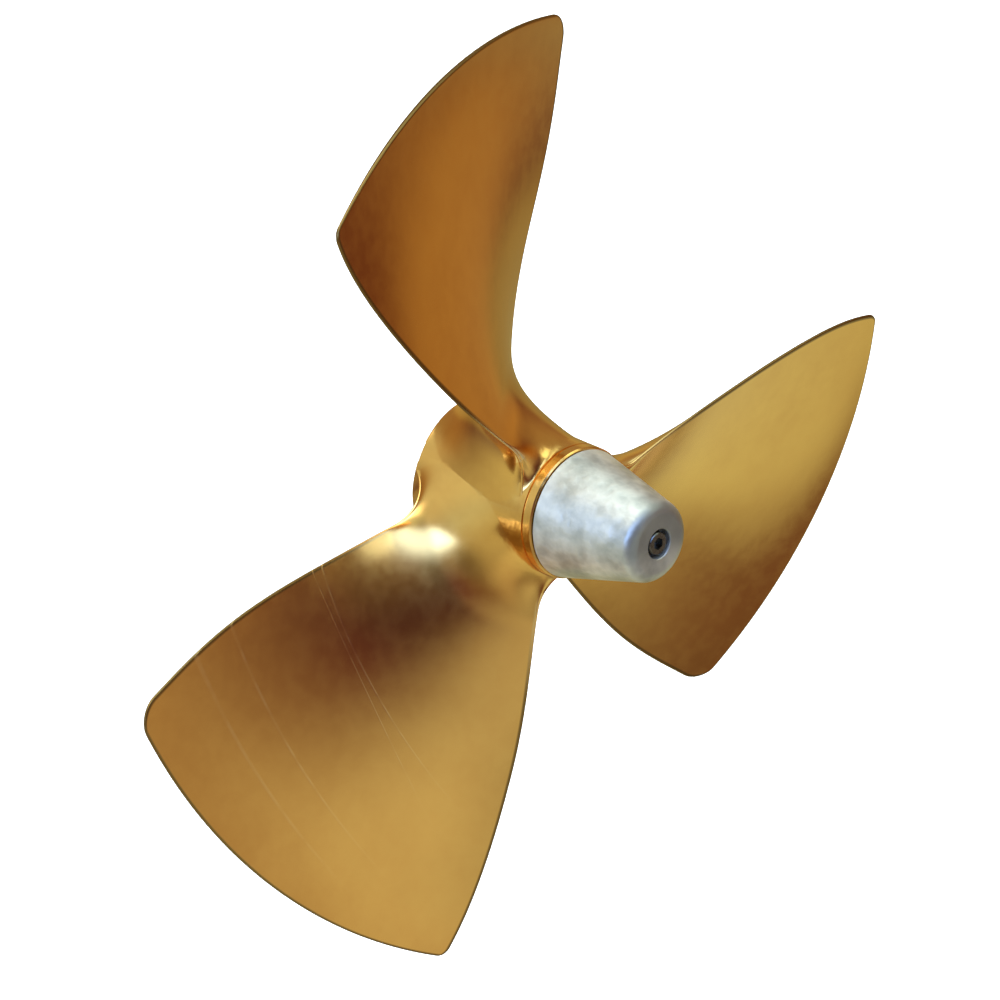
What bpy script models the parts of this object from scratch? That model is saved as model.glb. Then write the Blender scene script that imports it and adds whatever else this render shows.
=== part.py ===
"""Three-bladed ship propeller cast in one piece, with a zinc cone screwed to the end of its boss.

The shaft axis is X and +X points aft. The origin is the centre of the boss's forward face, and blade A
points up +Z. All sizes are in metres.
"""

from math import atan, atan2, cos, hypot, pi, radians, sin, sqrt

import bmesh
import bpy
import numpy as np

# Blades, all alike: an angle grows from +Z towards +Y, which is towards a blade's leading edge
BLADE_COUNT = 3
TIP_RADIUS = 0.250
FIRST_STATION = 0.15 * TIP_RADIUS
# Edge angles and rake at five equally spaced radii, from the first station to the tip
LEADING_EDGE_DEG = (25.8, 19.6, 19.3, 18.0, 15.6)
TRAILING_EDGE_DEG = (-37.1, -43.6, -44.1, -42.8, -39.7)
RAKE_LINE = (0.0429, 0.0286, 0.0265, 0.0264, 0.0275)
PITCH_RATIO = 0.824
ROOT_PITCH_LOSS = 0.185
ROOT_THICKNESS = 0.020
TIP_THICKNESS = 0.003
EDGE_THICKNESS = 0.0018
FACE_BULGE = 0.0017
LEADING_CORNER = 0.0139
TRAILING_CORNER = 0.0050
TIP_SLANT = 0.0005
TIP_SAG = -0.0011
ROOT_FILLET = 0.0335
LEADING_FILLET = 0.027
TRAILING_FILLET = 0.0202
FILLET_SINK = 0.0003
ROOT_DEPTH = 0.006

# Boss
BOSS_LENGTH = 0.0855
BOSS_FORWARD_RADIUS = 0.0384
BOSS_AFT_RADIUS = 0.0360
BOSS_CHAMFER = 0.0015
GROOVE_START = 0.0790
GROOVE_WIDTH = 0.0012
GROOVE_DEPTH = 0.0008
FILLET_TRIM_FORWARD = 0.0006
FILLET_TRIM_AFT = 0.0786
TRIM_RADIUS = 0.075
BORE_FORWARD_RADIUS = 0.0175
BORE_TAPER = 1 / 10
KEYWAY_WIDTH = 0.010
KEYWAY_DEPTH = 0.0033

# Zinc cone
ANODE_START = 0.0860
ANODE_LENGTH = 0.0583
ANODE_FORWARD_RADIUS = 0.0351
ANODE_SLOPE = 0.241
ANODE_NOSE_ROUNDING = 0.0073
CAVITY_RADIUS = 0.023
CAVITY_LENGTH = 0.030
COUNTERBORE_RADIUS = 0.0082
SCREW_HOLE_RADIUS = 0.0045

# Fasteners
GAP = 0.0003
SCREW_RADIUS = 0.004
SCREW_LENGTH = 0.030
HEAD_RADIUS = 0.0065
HEAD_HEIGHT = 0.008
HEAD_RECESS = 0.0008
HEAD_CHAMFER = 0.0006
SOCKET_ACROSS_FLATS = 0.006
SOCKET_DEPTH = 0.004
SPRING_WASHER_RADIUS = 0.0067
SPRING_WASHER_HEIGHT = 0.002
SPRING_WASHER_SPLIT = 0.0015
NUT_ACROSS_FLATS = 0.036
NUT_HEIGHT = 0.018
NUT_BORE_RADIUS = 0.0112
NUT_BORE_DEPTH = 0.0104
NUT_NECK_RADIUS = 0.012
NUT_TAPPED_DEPTH = 0.0127
TAB_WASHER_RADIUS = 0.020
TAB_WASHER_HOLE = 0.0125
TAB_WASHER_THICKNESS = 0.0015
TAB_WIDTH = 0.010
TAB_HEIGHT = 0.008

# Smoothness
TURNED_STEPS = 72
SMALL_TURNED_STEPS = 48
CHORD_STEPS = 12
NOSE_STEPS = 3
FILLET_STEPS = 6
SPAN_STEPS = 11
CORNER_STEPS_DEG = (22, 42, 58, 72, 90)
NOSE_ARC_STEPS = 5
MERGE = 0.00001
HEX_SIDES = 6

MEAN_BOSS_RADIUS = 0.5 * (BOSS_FORWARD_RADIUS + BOSS_AFT_RADIUS)
CAVITY_END = ANODE_START + CAVITY_LENGTH
ANODE_END = ANODE_START + ANODE_LENGTH
HEAD_TOP = ANODE_END - HEAD_RECESS
HEAD_SEAT = HEAD_TOP - HEAD_HEIGHT
SPRING_WASHER_START = HEAD_SEAT - GAP - SPRING_WASHER_HEIGHT
COUNTERBORE_FLOOR = SPRING_WASHER_START - GAP
TAB_WASHER_START = BOSS_LENGTH + GAP
NUT_START = TAB_WASHER_START + TAB_WASHER_THICKNESS + GAP
NUT_END = CAVITY_END - GAP


def clear_objects():
    for old in list(bpy.data.objects):
        bpy.data.objects.remove(old, do_unlink=True)


def make_collection(name):
    group = bpy.data.collections.new(name)
    bpy.context.scene.collection.children.link(group)
    return group


def make_material(name, color, roughness, metallic):
    material = bpy.data.materials.new(name)
    material.use_nodes = True
    shader = material.node_tree.nodes["Principled BSDF"]
    shader.inputs["Base Color"].default_value = (*color, 1.0)
    shader.inputs["Roughness"].default_value = roughness
    shader.inputs["Metallic"].default_value = metallic
    return material


def add_object(name, mesh, group, material=None):
    piece = bpy.data.objects.new(name, mesh)
    group.objects.link(piece)
    if material:
        mesh.materials.append(material)
    return piece


def hide_cutter(piece):
    piece.hide_render = True
    piece.display_type = "WIRE"
    return piece


def turned(name, profile, group, material=None, steps=TURNED_STEPS):
    """A ring turned about X from a closed profile of (x, radius) points, which runs aft along its outer side."""
    mesh = bpy.data.meshes.new(name)
    points = [(x, 0.0, radius) for x, radius in profile]
    count = len(points)
    mesh.from_pydata(points, [(i, (i + 1) % count) for i in range(count)], [])
    piece = add_object(name, mesh, group, material)
    screw = piece.modifiers.new("turn", "SCREW")
    screw.axis = "X"
    screw.steps = steps
    screw.render_steps = steps
    screw.use_merge_vertices = True
    screw.merge_threshold = MERGE
    screw.use_normal_flip = True
    screw.use_smooth_shade = False
    return piece


def prism(name, sides, radius, start, end, group):
    """A closed prism along X between two stations, with a flat side facing +Z where it has six sides."""
    mesh = bpy.data.meshes.new(name)
    build = bmesh.new()
    bmesh.ops.create_cone(
        build, cap_ends=True, segments=sides, radius1=radius, radius2=radius, depth=end - start
    )
    build.to_mesh(mesh)
    build.free()
    piece = add_object(name, mesh, group)
    piece.rotation_euler = (0.0, pi / 2, 0.0)
    piece.location.x = 0.5 * (start + end)
    return piece


def block(name, low, high, group):
    mesh = bpy.data.meshes.new(name)
    build = bmesh.new()
    bmesh.ops.create_cube(build, size=1.0)
    size = [b - a for a, b in zip(low, high)]
    bmesh.ops.scale(build, vec=size, verts=build.verts)
    build.to_mesh(mesh)
    build.free()
    piece = add_object(name, mesh, group)
    piece.location = [0.5 * (a + b) for a, b in zip(low, high)]
    return piece


def boolean(piece, other, operation):
    step = piece.modifiers.new(f"{operation.lower()} {other.name}", "BOOLEAN")
    step.operation = operation
    step.solver = "EXACT"
    step.object = other


def along(values, share):
    """The smooth curve through values at equally spaced shares of the blade's length."""
    count = len(values)
    return np.polyval(np.polyfit(np.linspace(0.0, 1.0, count), values, count - 1), share)


def boss_radius(x):
    return np.interp(x, (0.0, BOSS_LENGTH), (BOSS_FORWARD_RADIUS, BOSS_AFT_RADIUS))


def corner_cut(radius, corner):
    """How far a rounded tip corner draws the blade's edge in at a radius."""
    past = radius - (TIP_RADIUS - corner)
    return corner - sqrt(max(corner**2 - past**2, 0.0)) if past > 0 else 0.0


def fillet_width(height, fillet):
    """How far a quarter-round fillet stands out at a height above the boss."""
    drop = fillet - max(height, 0.0)
    return fillet - sqrt(fillet**2 - drop**2) if drop > 0 else 0.0


def section_points(half_chord, thickness, face_fillet, lead_fillet):
    """The section unrolled: distance towards the leading edge, height over the pressure face, share of chord."""
    nose = 0.5 * EDGE_THICKNESS
    half = half_chord - nose + 0.5 * lead_fillet
    centre = 0.5 * lead_fillet
    share = np.cos(np.linspace(0.0, pi, CHORD_STEPS + 1))
    fillet = face_fillet * np.sqrt(1.0 - share**2)
    bulge = FACE_BULGE * (1.0 - share**2)
    crown = (thickness - EDGE_THICKNESS) * (1.0 - share**2)
    turn = np.linspace(0.0, pi, NOSE_STEPS + 1)[1:-1]
    ones = np.ones_like(turn)
    pressure = np.c_[centre + half * share, -fillet - bulge, share]
    trailing = np.c_[centre - half - nose * np.sin(turn), nose - nose * np.cos(turn), -ones]
    suction = np.c_[centre - half * share, EDGE_THICKNESS + crown + fillet - bulge, -share]
    leading = np.c_[centre + half + nose * np.sin(turn), nose + nose * np.cos(turn), ones]
    return np.concatenate((pressure, trailing, suction, leading))


def blade_ring(radius):
    """The points of blade A's section at a radius, wrapped round the shaft axis."""
    share = (radius - FIRST_STATION) / (TIP_RADIUS - FIRST_STATION)
    held_share = min(max(share, 0.0), 1.0)
    height = radius - MEAN_BOSS_RADIUS + FILLET_SINK
    lead = radians(along(LEADING_EDGE_DEG, share)) - corner_cut(radius, LEADING_CORNER) / radius
    trail = radians(along(TRAILING_EDGE_DEG, share)) + corner_cut(radius, TRAILING_CORNER) / radius
    inner_share = max(0.0, 1.0 - 2.0 * share)
    advance = (PITCH_RATIO - ROOT_PITCH_LOSS * inner_share**2) * 2 * TIP_RADIUS / (2 * pi)
    slope = atan2(advance, radius)
    middle = 0.5 * (lead + trail)
    half_chord = 0.5 * (lead - trail) * hypot(radius, advance)
    thickness = ROOT_THICKNESS + (TIP_THICKNESS - ROOT_THICKNESS) * held_share
    face_fillet = fillet_width(height, ROOT_FILLET)
    lead_fillet = fillet_width(height, LEADING_FILLET)
    distance, rise, chord_share = section_points(half_chord, thickness, face_fillet, lead_fillet).T
    aft_fillet = fillet_width(height, TRAILING_FILLET) * (0.5 - 0.5 * chord_share) ** 4
    angle = middle + (distance * cos(slope) - rise * sin(slope) - aft_fillet) / radius
    x = along(RAKE_LINE, share) - advance * middle - distance * sin(slope) - rise * cos(slope)
    on_boss = np.clip(1.0 - height / ROOT_FILLET, 0.0, 1.0)
    tip_offset = held_share**6 * (TIP_SLANT * chord_share + TIP_SAG * (1.0 - chord_share**2))
    distance_out = radius + (boss_radius(x) - MEAN_BOSS_RADIUS) * on_boss + tip_offset
    return np.c_[x, distance_out * np.sin(angle), distance_out * np.cos(angle)]


def blade_radii():
    start = MEAN_BOSS_RADIUS - FILLET_SINK
    quarter = np.radians(np.linspace(90.0, 0.0, FILLET_STEPS + 1))
    fillet = start + ROOT_FILLET * (1.0 - np.sin(quarter))
    corner = max(LEADING_CORNER, TRAILING_CORNER)
    span = np.linspace(fillet[-1], TIP_RADIUS - corner, SPAN_STEPS + 1)[1:]
    tip = TIP_RADIUS - corner + corner * np.sin(np.radians(CORNER_STEPS_DEG))
    return [start - ROOT_DEPTH, *fillet, *span, *tip]


def close_end(build, row):
    """Closes a ring by way of a line midway between its two faces, as far from the shaft axis as they are."""
    last = CHORD_STEPS
    front = row[: last + 1]
    back = [row[2 * last + NOSE_STEPS - i] for i in range(last + 1)]
    spine = []
    for near, far in zip(front, back):
        middle = 0.5 * (near.co + far.co)
        reach = 0.5 * (near.co.yz.length + far.co.yz.length) / middle.yz.length
        spine.append(build.verts.new((middle.x, middle.y * reach, middle.z * reach)))
    for i in range(last):
        build.faces.new((front[i], front[i + 1], spine[i + 1], spine[i]))
        build.faces.new((spine[i], spine[i + 1], back[i + 1], back[i]))
    build.faces.new([*row[last : last + NOSE_STEPS + 1], spine[last]])
    build.faces.new([*row[2 * last + NOSE_STEPS :], row[0], spine[0]])


def blade_mesh():
    """Blade A lofted through its sections, closed inside the boss and at the tip."""
    build = bmesh.new()
    rows = [[build.verts.new(point) for point in blade_ring(radius)] for radius in blade_radii()]
    count = len(rows[0])
    for inner, outer in zip(rows, rows[1:]):
        for i in range(count):
            j = (i + 1) % count
            build.faces.new((inner[i], inner[j], outer[j], outer[i]))
    close_end(build, rows[0])
    close_end(build, rows[-1])
    bmesh.ops.recalc_face_normals(build, faces=build.faces)
    mesh = bpy.data.meshes.new("blade")
    build.to_mesh(mesh)
    build.free()
    return mesh


def make_casting(parts, cutters, bronze):
    """The boss with its taper bore and keyway, and the three blades, as one casting."""
    groove_floor = boss_radius(GROOVE_START) - GROOVE_DEPTH
    groove_end = GROOVE_START + GROOVE_WIDTH
    groove_wall = 0.2 * GROOVE_WIDTH
    half_taper = 0.5 * BORE_TAPER
    aft_chamfer = 0.5 * BOSS_CHAMFER
    casting = turned(
        "propeller_casting",
        (
            (0.0, BORE_FORWARD_RADIUS + BOSS_CHAMFER),
            (0.0, BOSS_FORWARD_RADIUS - BOSS_CHAMFER),
            (BOSS_CHAMFER, boss_radius(BOSS_CHAMFER)),
            (GROOVE_START, boss_radius(GROOVE_START)),
            (GROOVE_START + groove_wall, groove_floor),
            (groove_end - groove_wall, groove_floor),
            (groove_end, boss_radius(groove_end)),
            (BOSS_LENGTH - aft_chamfer, boss_radius(BOSS_LENGTH)),
            (BOSS_LENGTH, boss_radius(BOSS_LENGTH) - aft_chamfer),
            (BOSS_LENGTH, BORE_FORWARD_RADIUS - half_taper * BOSS_LENGTH),
            (BOSS_CHAMFER, BORE_FORWARD_RADIUS - half_taper * BOSS_CHAMFER),
        ),
        parts,
        bronze,
    )
    trims = (
        facing_cut("forward_facing_cut", -ROOT_FILLET, FILLET_TRIM_FORWARD, cutters),
        facing_cut("aft_facing_cut", FILLET_TRIM_AFT, BOSS_LENGTH + ROOT_FILLET, cutters),
    )
    mesh = blade_mesh()
    for k in range(BLADE_COUNT):
        blade = hide_cutter(add_object(f"blade_{'abc'[k]}", mesh, cutters))
        blade.rotation_euler.x = -2 * pi * k / BLADE_COUNT
        for trim in trims:
            boolean(blade, trim, "DIFFERENCE")
        boolean(casting, blade, "UNION")
    key_top = BORE_FORWARD_RADIUS + KEYWAY_DEPTH
    key_reach = 1.2 * BOSS_LENGTH
    keyway = block(
        "keyway",
        (-key_reach, -0.5 * KEYWAY_WIDTH, -BORE_FORWARD_RADIUS * 0.5),
        (key_reach, 0.5 * KEYWAY_WIDTH, 0.0),
        cutters,
    )
    keyway.location.z += key_top
    keyway.rotation_euler.y = atan(half_taper)
    boolean(casting, hide_cutter(keyway), "DIFFERENCE")
    return casting


def facing_cut(name, start, end, cutters):
    """A lathe cut that takes off what the root fillets leave past the boss's ends."""
    return hide_cutter(prism(name, TURNED_STEPS, TRIM_RADIUS, start, end, cutters))


def nose_profile():
    """The cone's rounded small end, tangent to its side, from the side to the flat end face."""
    slope = atan(ANODE_SLOPE)
    centre_x = ANODE_END - ANODE_NOSE_ROUNDING
    start_x = centre_x + ANODE_NOSE_ROUNDING * sin(slope)
    start_radius = ANODE_FORWARD_RADIUS - ANODE_SLOPE * (start_x - ANODE_START)
    centre_radius = start_radius - ANODE_NOSE_ROUNDING * cos(slope)
    for angle in np.linspace(slope, pi / 2, NOSE_ARC_STEPS + 1):
        yield (
            centre_x + ANODE_NOSE_ROUNDING * sin(angle),
            centre_radius + ANODE_NOSE_ROUNDING * cos(angle),
        )


def make_anode(parts, zinc):
    """The zinc cone: hollow over the shaft nut, with a hole and a counterbore for its screw."""
    return turned(
        "anode_cone",
        (
            (ANODE_START, CAVITY_RADIUS),
            (ANODE_START, ANODE_FORWARD_RADIUS),
            *nose_profile(),
            (ANODE_END, COUNTERBORE_RADIUS),
            (COUNTERBORE_FLOOR, COUNTERBORE_RADIUS),
            (COUNTERBORE_FLOOR, SCREW_HOLE_RADIUS),
            (CAVITY_END, SCREW_HOLE_RADIUS),
            (CAVITY_END, CAVITY_RADIUS),
        ),
        parts,
        zinc,
    )


def make_screw(parts, cutters, steel):
    """The socket-head screw that holds the cone to the shaft nut."""
    shank_end = HEAD_SEAT - SCREW_LENGTH
    screw = turned(
        "anode_screw",
        (
            (shank_end, 0.0),
            (shank_end, SCREW_RADIUS - HEAD_CHAMFER),
            (shank_end + HEAD_CHAMFER, SCREW_RADIUS),
            (HEAD_SEAT, SCREW_RADIUS),
            (HEAD_SEAT, HEAD_RADIUS),
            (HEAD_TOP - HEAD_CHAMFER, HEAD_RADIUS),
            (HEAD_TOP, HEAD_RADIUS - HEAD_CHAMFER),
            (HEAD_TOP, 0.0),
        ),
        parts,
        steel,
        SMALL_TURNED_STEPS,
    )
    corner_radius = 0.5 * SOCKET_ACROSS_FLATS / cos(pi / HEX_SIDES)
    socket_floor = HEAD_TOP - SOCKET_DEPTH
    socket = prism("hex_socket", HEX_SIDES, corner_radius, socket_floor, HEAD_TOP + SOCKET_DEPTH, cutters)
    boolean(screw, hide_cutter(socket), "DIFFERENCE")
    return screw


def make_spring_washer(parts, cutters, steel):
    """The split spring washer under the screw's head."""
    end = SPRING_WASHER_START + SPRING_WASHER_HEIGHT
    hole = SCREW_RADIUS + GAP
    washer = turned(
        "screw_spring_washer",
        (
            (SPRING_WASHER_START, hole),
            (SPRING_WASHER_START, SPRING_WASHER_RADIUS),
            (end, SPRING_WASHER_RADIUS),
            (end, hole),
        ),
        parts,
        steel,
        SMALL_TURNED_STEPS,
    )
    half_split = 0.5 * SPRING_WASHER_SPLIT
    split = block(
        "washer_split",
        (SPRING_WASHER_START - GAP, -half_split, 0.0),
        (end + GAP, half_split, 2 * SPRING_WASHER_RADIUS),
        cutters,
    )
    boolean(washer, hide_cutter(split), "DIFFERENCE")
    return washer


def make_nut(parts, cutters, bronze):
    """The shaft nut: a hexagon, and a neck tapped for the cone's screw."""
    corner_radius = 0.5 * NUT_ACROSS_FLATS / cos(pi / HEX_SIDES)
    nut = prism("shaft_nut", HEX_SIDES, corner_radius, NUT_START, NUT_START + NUT_HEIGHT, parts)
    nut.data.materials.append(bronze)
    neck_start = NUT_START + 0.5 * NUT_HEIGHT
    neck = prism("nut_neck", SMALL_TURNED_STEPS, NUT_NECK_RADIUS, neck_start, NUT_END, cutters)
    boolean(nut, hide_cutter(neck), "UNION")
    bore_end = NUT_START + NUT_BORE_DEPTH
    bore = prism("nut_bore", SMALL_TURNED_STEPS, NUT_BORE_RADIUS, NUT_START - NUT_BORE_DEPTH, bore_end, cutters)
    boolean(nut, hide_cutter(bore), "DIFFERENCE")
    tapped_start = NUT_END - NUT_TAPPED_DEPTH
    tapped_end = NUT_END + NUT_TAPPED_DEPTH
    tapped = prism("nut_tapped_hole", SMALL_TURNED_STEPS, SCREW_RADIUS + GAP, tapped_start, tapped_end, cutters)
    boolean(nut, hide_cutter(tapped), "DIFFERENCE")
    return nut


def make_tab_washer(parts, cutters, steel):
    """The washer behind the shaft nut, with one tab bent aft along a flat of the nut."""
    end = TAB_WASHER_START + TAB_WASHER_THICKNESS
    washer = turned(
        "nut_tab_washer",
        (
            (TAB_WASHER_START, TAB_WASHER_HOLE),
            (TAB_WASHER_START, TAB_WASHER_RADIUS),
            (end, TAB_WASHER_RADIUS),
            (end, TAB_WASHER_HOLE),
        ),
        parts,
        steel,
        SMALL_TURNED_STEPS,
    )
    tab_floor = 0.5 * NUT_ACROSS_FLATS + GAP
    tab = block(
        "washer_tab",
        (TAB_WASHER_START + 0.5 * TAB_WASHER_THICKNESS, -0.5 * TAB_WIDTH, tab_floor),
        (end + TAB_HEIGHT, 0.5 * TAB_WIDTH, tab_floor + TAB_WASHER_THICKNESS),
        cutters,
    )
    boolean(washer, hide_cutter(tab), "UNION")
    return washer


def main():
    clear_objects()
    parts = make_collection("ship_propeller")
    cutters = make_collection("cutters")
    bronze = make_material("polished bronze", (0.72, 0.46, 0.15), 0.3, 1.0)
    zinc = make_material("turned zinc", (0.62, 0.64, 0.66), 0.45, 1.0)
    steel = make_material("stainless steel", (0.55, 0.55, 0.56), 0.3, 1.0)
    shaft = bpy.data.objects.new("shaft_axis", None)
    parts.objects.link(shaft)
    pieces = (
        make_casting(parts, cutters, bronze),
        make_anode(parts, zinc),
        make_screw(parts, cutters, steel),
        make_spring_washer(parts, cutters, steel),
        make_nut(parts, cutters, bronze),
        make_tab_washer(parts, cutters, steel),
    )
    for piece in pieces:
        piece.parent = shaft


main()
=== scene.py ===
"""Looks of the ship propeller: its bronze casting, zinc cone and fasteners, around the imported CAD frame.

The shaft axis is X and +X points aft, towards the zinc cone. Blade A points up +Z. All sizes are in metres.
"""

from math import atan, cos, pi, radians, sin, sqrt

import bmesh
import bpy
import numpy as np
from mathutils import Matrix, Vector

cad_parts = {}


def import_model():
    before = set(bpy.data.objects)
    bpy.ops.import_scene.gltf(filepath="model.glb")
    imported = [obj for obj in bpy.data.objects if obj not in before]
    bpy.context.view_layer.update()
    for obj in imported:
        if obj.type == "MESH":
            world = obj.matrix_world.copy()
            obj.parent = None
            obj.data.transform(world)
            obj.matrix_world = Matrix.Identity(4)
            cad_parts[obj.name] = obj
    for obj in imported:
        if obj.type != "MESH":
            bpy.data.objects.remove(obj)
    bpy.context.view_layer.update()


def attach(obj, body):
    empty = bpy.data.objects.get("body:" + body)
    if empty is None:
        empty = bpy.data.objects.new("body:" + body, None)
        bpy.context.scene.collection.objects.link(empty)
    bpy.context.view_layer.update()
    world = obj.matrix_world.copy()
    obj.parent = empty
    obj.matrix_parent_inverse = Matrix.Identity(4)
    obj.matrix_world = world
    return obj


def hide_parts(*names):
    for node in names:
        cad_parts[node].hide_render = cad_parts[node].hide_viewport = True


# Blades, all alike: an angle grows from +Z towards +Y, which is towards a blade's leading edge
BLADE_COUNT = 3
BLADE_STEP = -2 * pi / BLADE_COUNT
TIP_RADIUS = 0.250
FIRST_STATION = 0.15 * TIP_RADIUS
EDGE_STATIONS = 5
LEADING_EDGE_DEG = (25.8, 19.6, 19.3, 18.0, 15.6)
TRAILING_EDGE_DEG = (-37.1, -43.6, -44.1, -42.8, -39.7)
RAKE_LINE = (0.0429, 0.0286, 0.0265, 0.0264, 0.0275)
PITCH_RATIO = 0.824
ROOT_PITCH_LOSS = 0.185
ROOT_THICKNESS = 0.020
TIP_THICKNESS = 0.003
EDGE_THICKNESS = 0.0018
FACE_BULGE = 0.0017
LEADING_CORNER = 0.0139
TRAILING_CORNER = 0.0050
TIP_SLANT = 0.0005
TIP_SAG = -0.0011
ROOT_FILLET = 0.0335
LEADING_FILLET = 0.027
TRAILING_FILLET = 0.0202
FILLET_SINK = 0.0003
FILLET_POWER = 4.0
TIP_POWER = 6.0
ROOT_DEPTH = 0.006
CHORD_STEPS = 44
NOSE_STEPS = 6
SPAN_STEPS = 96

# Boss
BOSS_LENGTH = 0.0855
BOSS_FORWARD_RADIUS = 0.0384
BOSS_AFT_RADIUS = 0.0360
BOSS_CHAMFER = 0.0015
GROOVE_START = 0.0790
GROOVE_WIDTH = 0.0012
GROOVE_DEPTH = 0.0008
GROOVE_WALL_SHARE = 0.2
FILLET_TRIM_FORWARD = 0.0006
FILLET_TRIM_AFT = 0.0786
TRIM_RADIUS = 0.075
TRIM_SIDES = 12
# Lengths of the lathe cuts and of the key's cutter, over the root fillet's size and the boss's length
TRIM_REACH = 1.2
KEY_REACH = 3.0
BORE_FORWARD_RADIUS = 0.0175
BORE_TAPER = 1 / 10
KEYWAY_WIDTH = 0.010
KEYWAY_DEPTH = 0.0033
TURNED_STEPS = 256
# Turns a shape made along +Z to lie along +X
ALONG_SHAFT = (0.0, pi / 2, 0.0)
AXIS_RADIUS = 1e-7
MERGE_DISTANCE = 1e-6
SHARP_DEG = 32.0

# Zinc cone
ANODE_START = 0.0860
ANODE_LENGTH = 0.0583
ANODE_END = ANODE_START + ANODE_LENGTH
ANODE_FORWARD_RADIUS = 0.0351
ANODE_SLOPE = 0.241
ANODE_NOSE_ROUNDING = 0.0073
ANODE_RIM_ROUNDING = 0.0006
NOSE_ARC_POINTS = 17
CAVITY_RADIUS = 0.023
CAVITY_LENGTH = 0.030
CAVITY_END = ANODE_START + CAVITY_LENGTH
COUNTERBORE_RADIUS = 0.0082
COUNTERBORE_CHAMFER = 0.0004
COUNTERBORE_FLOOR = 0.1327
SCREW_HOLE_RADIUS = 0.0045

# A hexagon's sides, and how far out a corner is as a share of the size across flats
HEX_SIDES = 6
HEX_CORNER = 0.5 / cos(pi / HEX_SIDES)

# Screw and its split washer
SCREW_RADIUS = 0.004
SCREW_PITCH = 0.00125
SCREW_THREAD_DEPTH = 0.0007
SCREW_LENGTH = 0.030
HEAD_RADIUS = 0.0065
HEAD_HEIGHT = 0.008
HEAD_TOP = ANODE_END - 0.0008
HEAD_SEAT = HEAD_TOP - HEAD_HEIGHT
HEAD_CHAMFER = 0.0006
SEAT_CHAMFER = 0.3 * HEAD_CHAMFER
KNURL_END = HEAD_TOP - 1.4 * HEAD_CHAMFER
KNURL_RIDGES = 48
KNURL_DEPTH = 0.00015
KNURL_TOLERANCE = 1e-5
SOCKET_ACROSS_FLATS = 0.006
SOCKET_DEPTH = 0.004
SPRING_WASHER_START = 0.1332
SPRING_WASHER_HEIGHT = 0.0019
SPRING_WASHER_LIFT = 0.0003
SPRING_WASHER_INNER = 0.0043
SPRING_WASHER_OUTER = 0.0067
SPRING_WASHER_SPLIT_DEG = 15

# Shaft nut and its tab washer
NUT_START = 0.0876
NUT_HEIGHT = 0.018
NUT_ACROSS_FLATS = 0.036
NUT_CHAMFER = 0.0016
NUT_BORE_DEPTH = 0.0104
NUT_THREAD_RADIUS = 0.0120
NUT_THREAD_DEPTH = 0.0011
NUT_THREAD_PITCH = 0.0020
NUT_NECK_RADIUS = 0.012
NUT_END = 0.1157
NUT_TAPPED_DEPTH = 0.0127
NUT_TAPPED_CLEARANCE = 0.0004
NUT_FACE_SHARE = 0.97
NUT_BLANK_SPARE = 1e-4
TAB_WASHER_START = 0.0858
TAB_WASHER_THICKNESS = 0.0015
TAB_WASHER_RADIUS = 0.020
TAB_WASHER_HOLE = 0.0125
TAB_WIDTH = 0.010
TAB_HEIGHT = 0.008
TAB_FLOOR = 0.0183
TAB_WASHER_EASE = 0.15 * TAB_WASHER_THICKNESS
SMALL_STEPS = 96
THREAD_STEPS = 48
SCREW_ROWS = 124
BORE_ROWS = 62
TAPPED_ROWS = 104

# Bronze: linear colours, and in metres the blades' edges, painted dark as shade further out and painted
# bright as a highlight near the boss
BRONZE_RED = (0.80, 0.445, 0.137)
BRONZE_YELLOW = (0.88, 0.515, 0.162)
# Painted shade for the blades' outer edges
BRONZE_EDGE_SHADE = (0.20, 0.12, 0.042)
# Bright bronze for the scribed lines, and for the painted highlight along the blades' edges near the boss
BRONZE_SCRATCH_AND_HIGHLIGHT = (0.98, 0.68, 0.33)
BRONZE_ROUGHNESS = 0.17
RIM_SHADE_SHARE = 0.9
RIM_FULL = 0.0005
RIM_END = 0.0018
RIM_START_RADIUS = 0.047
RIM_DARK_RADIUS = 0.110
EDGE_HIGHLIGHT_SHARE = 0.7
# The hand-ground end of the boss, in metres aft and out from the shaft
GROUND_START = 0.060
GROUND_FULL = 0.074
GROUND_RADIUS = 0.037
GROUND_END_RADIUS = 0.046
# Lines scribed across blade C's pressure face, as planes through points read off the photo: how far out a
# plane is over the origin, how it leans across the blade and aft, and how strong its line is
SCRIBED_LINES = (
    (0.107, 0.02, 0.78, 0.9),
    (0.0725, 0.62, 1.87, 0.9),
    (0.100, 0.92, 3.08, 0.5),
    (0.0925, 1.23, 4.21, 0.35),
)
SCRIBED_HALF_WIDTH = 0.0003
SCRIBED_CORE_SHARE = 0.3
# Where across the blade the lines are full and where they end, and the least that wear leaves of them
SCRIBED_FULL = 0.010
SCRIBED_END = -0.110
SCRIBED_LEAST = 0.35
# How fine each noise in the bronze is, per metre, and how far its relief stands out, in metres
BRONZE_CLOUDS = 26.0
BRONZE_SPOTS = 120.0
BRONZE_GRAIN = 420.0
BRONZE_FACETS = 210.0
BRONZE_WEAR = 90.0
BRONZE_RELIEF = 0.000008
# Heights in that relief, as multiples of it
GRAIN_HEIGHT = 0.3
SPOT_HEIGHT = 0.7
SCRIBED_DEPTH = 4.0
FACET_HEIGHT = 22.0

# Zinc
ZINC_DULL = (0.50, 0.485, 0.455)
ZINC_BRIGHT = (0.93, 0.88, 0.81)
ZINC_ROUGHNESS = 0.40
ZINC_METALLIC = 0.6
# The cone's end face is darker, and towards its top the dark is a painted reflection
ZINC_END = (0.28, 0.275, 0.26)
ZINC_END_START = ANODE_END - 0.0062
ZINC_END_FULL = ANODE_END - 0.0010
# How dark the cone's end is at its foot, what its top has beyond that as a painted dark reflection, and
# from where to where in height that grows
ZINC_END_LEAST = 0.35
ZINC_END_MORE = 0.5
ZINC_END_LOW = -0.014
ZINC_END_HIGH = 0.002
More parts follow.
